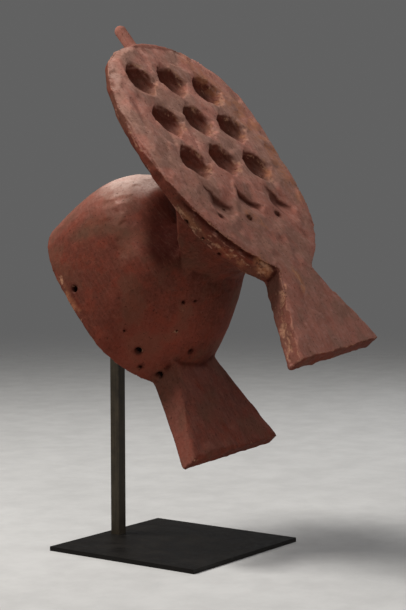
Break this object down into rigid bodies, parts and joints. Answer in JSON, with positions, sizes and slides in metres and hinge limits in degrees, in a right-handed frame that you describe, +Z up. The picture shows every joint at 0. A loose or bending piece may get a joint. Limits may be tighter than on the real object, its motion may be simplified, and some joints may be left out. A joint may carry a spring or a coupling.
{
  "type": "carved wooden cap mask on a stand",
  "caption": "Abstract cap mask carved in wood: hollow helmet, long open jaws and a broad pitted slab over the crown, held on a square post and base plate.",
  "frame": {"origin": "centre of the base plate's underside", "axes": "+Z up, -Y the way the mask's jaws point, +X to the mask's own left; the mask is turned nose down by 50 degrees about X"},
  "size_m": [0.2579, 0.3689, 0.5919],
  "materials": {
    "carved_wood": "matte red-brown pigment over worn, hand-cut wood",
    "post_metal": "satin black-brown patina on square steel bar",
    "plate_metal": "satin black-brown patina on steel plate"
  },
  "bodies": {
    "root": {"mask": "carved_wood", "stand_post": "post_metal", "stand_base_plate": "plate_metal"}
  },
  "joints": []
}
